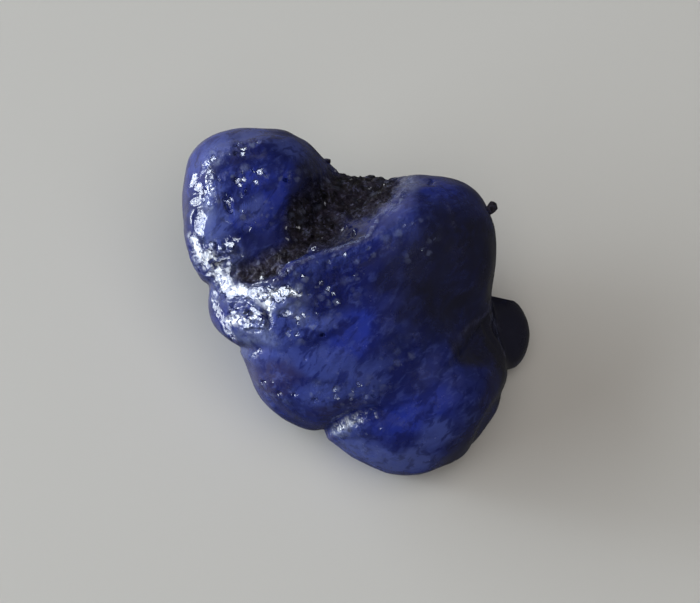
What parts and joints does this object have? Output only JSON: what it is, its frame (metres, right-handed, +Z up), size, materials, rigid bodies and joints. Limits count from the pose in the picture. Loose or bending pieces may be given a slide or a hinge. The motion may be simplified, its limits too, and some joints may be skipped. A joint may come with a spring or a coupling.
{
  "type": "rough sapphire",
  "caption": "Rough sapphire pebble: a glossy, waterworn, twisted lump of dark blue crystal with a dark crumbly cleft beside its rounded head and a stub at one side.",
  "frame": {"origin": "bottom centre of the stone's box, on the surface it rests on", "axes": "+Z up from the resting face; +X along the longest side of the box, across the broad face from the head towards the stub; +Y from the foot of the broad face towards its head"},
  "size_m": [0.0194, 0.0186, 0.011],
  "materials": {
    "corundum": "glossy, waterworn, cloudy deep blue, nearly black in the cleft"
  },
  "bodies": {
    "root": {"rough_sapphire": "corundum"}
  },
  "joints": []
}
